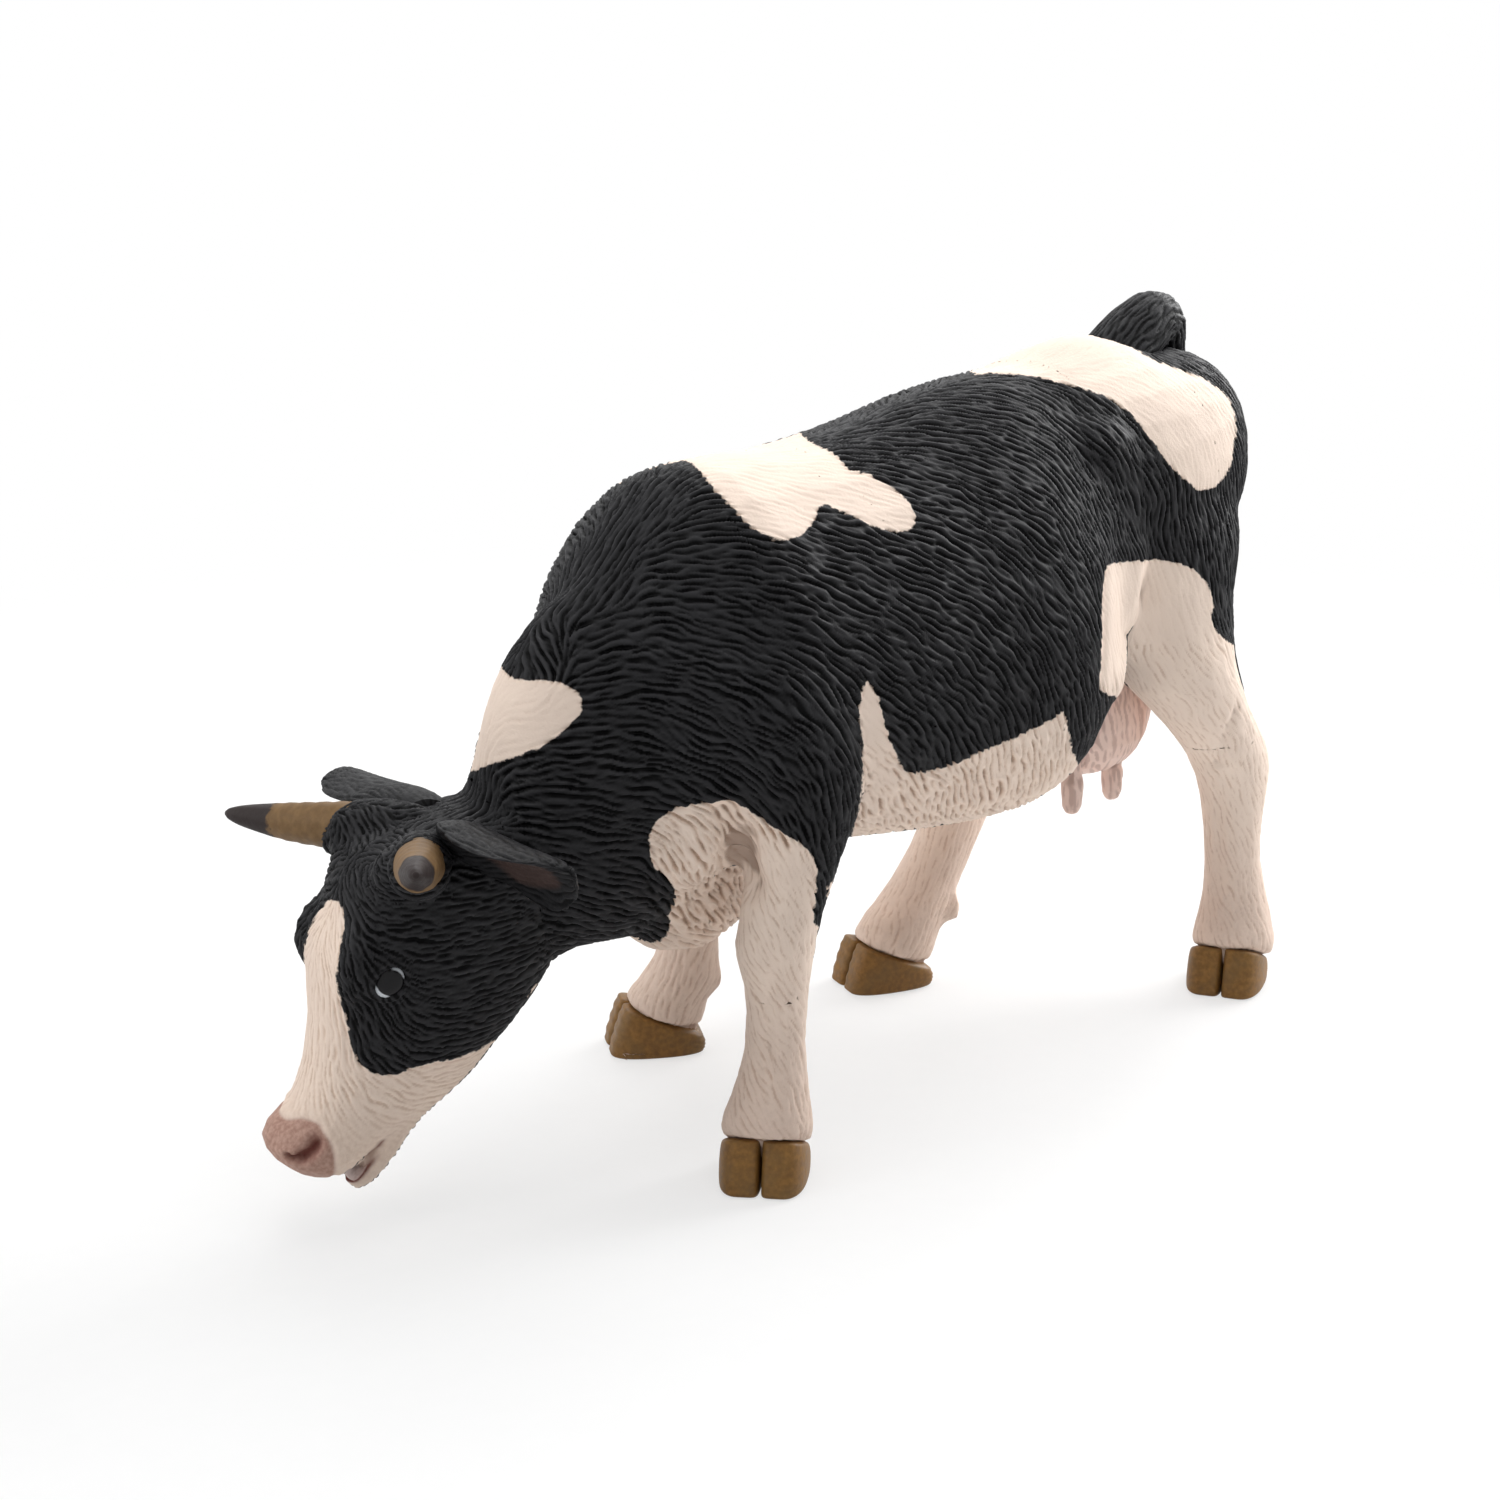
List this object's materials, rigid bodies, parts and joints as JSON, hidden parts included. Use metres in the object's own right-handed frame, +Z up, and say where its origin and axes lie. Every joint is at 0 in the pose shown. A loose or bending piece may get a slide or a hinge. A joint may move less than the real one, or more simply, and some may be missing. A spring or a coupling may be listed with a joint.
{
  "type": "toy farm animal figure",
  "caption": "Grazing dairy cow figure with lowered head, horns, udder, raised tail root and four cloven hooves that stand on a flat surface.",
  "frame": {"origin": "middle of the figure's length and width, on the plane that the hooves stand on", "axes": "+Z up, the head towards -X and the cow's left flank towards -Y"},
  "size_m": [0.1466, 0.0572, 0.0887],
  "materials": {
    "black_plastic": "black and cream paint on moulded fur",
    "white_plastic": "pinkish cream paint, with olive-brown hooves",
    "udder_plastic": "greyish pink paint",
    "horn_plastic": "ochre paint with dark tips"
  },
  "bodies": {
    "root": {"torso": "black_plastic", "head": "black_plastic", "left_horn": "horn_plastic", "right_horn": "horn_plastic", "left_ear": "black_plastic", "right_ear": "black_plastic", "tail": "black_plastic", "udder": "udder_plastic", "front_left_leg": "white_plastic", "front_right_leg": "white_plastic", "hind_left_leg": "white_plastic", "hind_right_leg": "white_plastic"}
  },
  "joints": []
}
